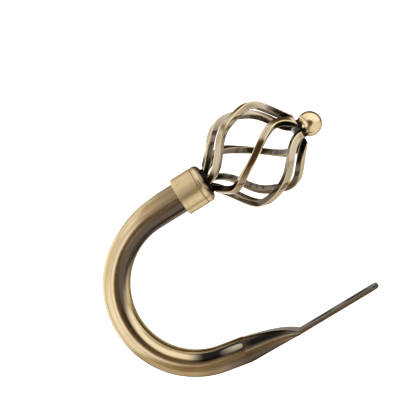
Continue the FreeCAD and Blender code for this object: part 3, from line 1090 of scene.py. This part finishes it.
def bar_finish(colours, cage):
    """Square bars: the brush rubs the outer face, one flank and the edges, and the rest stays dark; the
    flank is left dark over its lower part as painted dark reflection.
    """
    finish = Finish("relieved_bar_brass")
    along, out, side = finish.stock_parts()
    from_foot = finish.sum("MODULO", along, bar_run_step(cage))
    half = cage.bar_size / 2
    nearest = finish.sum("MINIMUM", finish.sum("ABSOLUTE", out), finish.sum("ABSOLUTE", side))
    edge = finish.sum("MULTIPLY", finish.remap(nearest, half * 0.64, half * 0.76),
                      finish.remap(out, 0.0, half / 2, 0.4, 0.9))
    outer = finish.remap(out, half * 0.80, half * 0.95)
    flank = finish.remap(side, half * 0.80, half * 0.95)
    # painted dark reflection: the brushed flank starts only some way up the bar, so its lower part stays
    # dark
    flank = finish.sum("MULTIPLY", flank, finish.remap(from_foot, 16 * MM, 44 * MM))
    flank = finish.sum("MULTIPLY", flank, finish.remap(from_foot, 66 * MM, 70 * MM, 1.0, 0.0))
    rubbed_and_painted_light = finish.sum("MAXIMUM", outer, flank)
    streaks = finish.noise(finish.stock((25.0, 1700.0, 1700.0)), detail=3.0)
    bright = finish.mix(finish.remap(streaks, 0.45, 0.8, 0.0, 0.5), colours.bar_face,
                        colours.bar_side)
    hidden = finish.mix(finish.remap(streaks, 0.35, 0.75, 0.0, 0.6), colours.bar_side,
                        colours.blackened_and_painted_shade)
    tip = finish.remap(from_foot, cage.bars_len * 1.24, cage.bars_len * 1.34)
    hidden = finish.mix(tip, hidden, colours.slot_black_and_painted_shade)
    face = finish.mix(rubbed_and_painted_light, hidden, bright)
    foot = finish.remap(from_foot, 9 * MM, 15 * MM, 1.0, 0.0)
    face = finish.mix(foot, face, colours.slot_black_and_painted_shade)
    base = finish.mix(edge, face, colours.edge_gold)
    finish.relief(streaks, 0.05)
    return finish.paint(base, finish.remap(streaks, 0.3, 0.7, 0.12, 0.18))


def disc_finish(colours):
    """Discs and slot walls left in the dark finish."""
    finish = Finish("dark_disc_bronze")
    rings = finish.noise(finish.stock((900.0, 60.0, 60.0)), detail=2.0)
    base = finish.mix(finish.remap(rings, 0.4, 0.7), colours.slot_black_and_painted_shade, colours.blackened_and_painted_shade)
    finish.shader.inputs["Specular Tint"].default_value = (0.2, 0.18, 0.17, 1.0)
    return finish.paint(base, finish.remap(rings, 0.3, 0.7, 0.35, 0.5))


def steel_finish(colours):
    """Plain steel with a turned grain."""
    finish = Finish("plain_fixing_steel")
    place = finish.tree.nodes.new("ShaderNodeTexCoord")
    grain = finish.noise(place.outputs["Object"], 900.0)
    base = finish.mix(finish.remap(grain, 0.35, 0.7), colours.steel, colours.gunmetal_and_painted_reflection)
    return finish.paint(base, finish.remap(grain, 0.3, 0.7, 0.3, 0.45))


# Stage

def smooth_step(low, high, value):
    """0 below a low value, 1 above a high one, and smooth between them."""
    part = max(0.0, min(1.0, (value - low) / (high - low)))
    return part * part * (3 - 2 * part)


def past(azimuth, edge, soft):
    """How far a direction lies past a soft edge, counted round the camera's axis in degrees."""
    return smooth_step(-soft, soft, (azimuth - edge + 180.0) % 360.0 - 180.0)


def between(tilt, low, high):
    """How far a direction lies between two soft tilts from the camera's axis, each with its softness."""
    return (smooth_step(low[0] - low[1], low[0] + low[1], tilt)
            * (1 - smooth_step(high[0] - high[1], high[0] + high[1], tilt)))


def window(azimuth, tilt, sides, tilts):
    """How far a direction lies in a window of the tent, its sides and tilts each with a softness."""
    return past(azimuth, *sides[0]) * (1 - past(azimuth, *sides[1])) * between(tilt, *tilts)


def tent_light(stage, azimuth, tilt):
    """Light of the tent in one direction: white cloth with a dark opening round the camera."""
    left_start = 141.0 - 0.3 * (tilt - 60.0)
    left_low = 30.0 - 10.0 * past(azimuth, 158.0, 12.0)
    left = window(azimuth, tilt, ((left_start, 9.0), (234.0, 10.0)), ((left_low, 6.0), (200.0, 5.0)))
    left *= 1 - 0.07 * between(tilt, (84.0, 10.0), (114.0, 10.0))
    left *= 1 - 0.12 * window(azimuth, tilt, ((155.0, 8.0), (186.0, 8.0)), ((62.0, 8.0), (92.0, 10.0)))
    left *= 1 - 0.10 * (1 - past(azimuth, 146.0, 10.0)) * between(tilt, (124.0, 14.0), (200.0, 5.0))
    top = 0.97 * window(azimuth, tilt, ((88.0, 8.0), (150.0, 8.0)), ((36.0, 7.0), (122.0, 14.0)))
    top_dip = past(azimuth, 129.0, 4.0) * between(tilt, (66.0, 8.0), (104.0, 8.0))
    top *= 1 - 0.24 * past(azimuth, 127.0, 4.0) - 0.18 * top_dip
    right = window(azimuth, tilt, ((8.0, 14.0), (99.0, 7.0)), ((30.0, 7.0), (114.0, 14.0)))
    wall = 0.90 * window(azimuth, tilt, ((-90.0, 14.0), (20.0, 14.0)), ((22.0, 8.0), (152.0, 10.0)))
    front = window(azimuth, tilt, ((226.0, 10.0), (-78.0, 14.0)), ((26.0, 8.0), (170.0, 5.0)))
    front *= 0.36 + 0.42 * smooth_step(30.0, 100.0, tilt)
    lens = window(azimuth, tilt, ((16.0, 14.0), (78.0, 14.0)), ((4.0, 4.0), (24.0, 5.0)))
    open_share = max(left, top, right, wall, front)
    return [c ** (1 - open_share) * (1 - 0.8 * lens) for c in stage.tent_brown]


def add_tent(stage):
    """A white studio tent round the object, hidden from the camera, dark where the camera stands."""
    axis = Euler(stage.camera_turn).to_matrix()
    rows, columns = TENT_ROWS, TENT_COLUMNS
    points, lights, faces = [], [], []
    for i in range(rows + 1):
        tilt = TENT_REACH * i / rows
        for j in range(columns):
            azimuth = 360.0 * j / columns
            t, a = math.radians(tilt), math.radians(azimuth)
            direction = Vector((math.sin(t) * math.cos(a), math.sin(t) * math.sin(a), math.cos(t)))
            points.append(axis @ direction * stage.tent_r)
            lights += [*tent_light(stage, azimuth, tilt), 1.0]
    for i in range(rows):
        for j in range(columns):
            k = (j + 1) % columns
            corners = [i * columns + j, i * columns + k, (i + 1) * columns + k, (i + 1) * columns + j]
            if min(lights[4 * corner + 2] for corner in corners) < TENT_WHITE:
                faces.append(corners)
    mesh = bpy.data.meshes.new("tent")
    mesh.from_pydata(points, [], faces)
    mesh.attributes.new("light", "FLOAT_COLOR", "POINT").data.foreach_set("color", lights)
    material = bpy.data.materials.new("tent_cloth")
    material.use_nodes = True
    tree = material.node_tree
    tree.nodes.clear()
    light = tree.nodes.new("ShaderNodeAttribute")
    light.attribute_name = "light"
    glow = tree.nodes.new("ShaderNodeEmission")
    out = tree.nodes.new("ShaderNodeOutputMaterial")
    tree.links.new(light.outputs["Color"], glow.inputs["Color"])
    tree.links.new(glow.outputs["Emission"], out.inputs["Surface"])
    mesh.materials.append(material)
    tent = bpy.data.objects.new("tent", mesh)
    bpy.context.scene.collection.objects.link(tent)
    tent.location = (cad_low + cad_high) / 2
    tent.visible_camera = False


class HOLDBACK_OT_stage(Operator):
    """Set up the floor, the light and the camera"""

    bl_idname = "holdback.stage"
    bl_label = "Stage"

    def execute(self, context):
        scene = context.scene
        stage = scene.holdback.stage
        scene.view_settings.view_transform = "Standard"

        camera = bpy.data.objects.new("camera", bpy.data.cameras.new("camera"))
        scene.collection.objects.link(camera)
        camera.location = stage.camera_place
        camera.rotation_euler = stage.camera_turn
        camera.data.lens = stage.lens
        scene.camera = camera

        half = stage.floor_size / 2
        floor_z = cad_low.z - stage.floor_drop
        mesh = bpy.data.meshes.new("floor")
        corners = [(-half, -half, floor_z), (half, -half, floor_z), (half, half, floor_z),
                   (-half, half, floor_z)]
        mesh.from_pydata(corners, [], [(0, 1, 2, 3)])
        floor = bpy.data.objects.new("floor", mesh)
        scene.collection.objects.link(floor)
        material = bpy.data.materials.new("pale_floor")
        material.use_nodes = True
        shader = material.node_tree.nodes["Principled BSDF"]
        shader.inputs["Base Color"].default_value = (*stage.floor_white, 1.0)
        shader.inputs["Roughness"].default_value = 1.0
        shader.inputs["Specular IOR Level"].default_value = 0.0
        shader.inputs["Emission Color"].default_value = (1.0, 1.0, 1.0, 1.0)
        shader.inputs["Emission Strength"].default_value = stage.floor_glow
        mesh.materials.append(material)

        world = bpy.data.worlds.new("white_tent")
        world.use_nodes = True
        background = world.node_tree.nodes["Background"]
        background.inputs["Color"].default_value = (1.0, 1.0, 1.0, 1.0)
        background.inputs["Strength"].default_value = 1.0
        scene.world = world

        add_tent(stage)
        return {"FINISHED"}


class HOLDBACK_PT_panel(Panel):
    """Lists the holdback's pieces and sizes"""

    bl_label = "Holdback"
    bl_space_type = "VIEW_3D"
    bl_region_type = "UI"
    bl_category = "Holdback"

    def draw(self, context):
        settings = context.scene.holdback
        for operator in OPERATORS:
            self.layout.operator(operator.bl_idname)
        for group in (settings.arm, settings.collar, settings.cage, settings.finish, settings.stage):
            box = self.layout.box()
            for name in group.__annotations__:
                box.prop(group, name)


OPERATORS = (
    HOLDBACK_OT_arm,
    HOLDBACK_OT_collar,
    HOLDBACK_OT_cage_bars,
    HOLDBACK_OT_discs,
    HOLDBACK_OT_ball,
    HOLDBACK_OT_fixings,
    HOLDBACK_OT_stage,
)
SETTINGS = (
    HoldbackArmSettings,
    HoldbackCollarSettings,
    HoldbackCageSettings,
    HoldbackFinishSettings,
    HoldbackStageSettings,
    HoldbackSettings,
)


def register():
    for made in SETTINGS + OPERATORS + (HOLDBACK_PT_panel,):
        bpy.utils.register_class(made)
    bpy.types.Scene.holdback = PointerProperty(type=HoldbackSettings)


def unregister():
    del bpy.types.Scene.holdback
    for made in reversed(SETTINGS + OPERATORS + (HOLDBACK_PT_panel,)):
        bpy.utils.unregister_class(made)


def main():
    register()
    bpy.ops.holdback.arm()
    bpy.ops.holdback.collar()
    bpy.ops.holdback.cage_bars()
    bpy.ops.holdback.discs()
    bpy.ops.holdback.ball()
    bpy.ops.holdback.fixings()
    bpy.ops.holdback.stage()


if __name__ == "__main__":
    main()
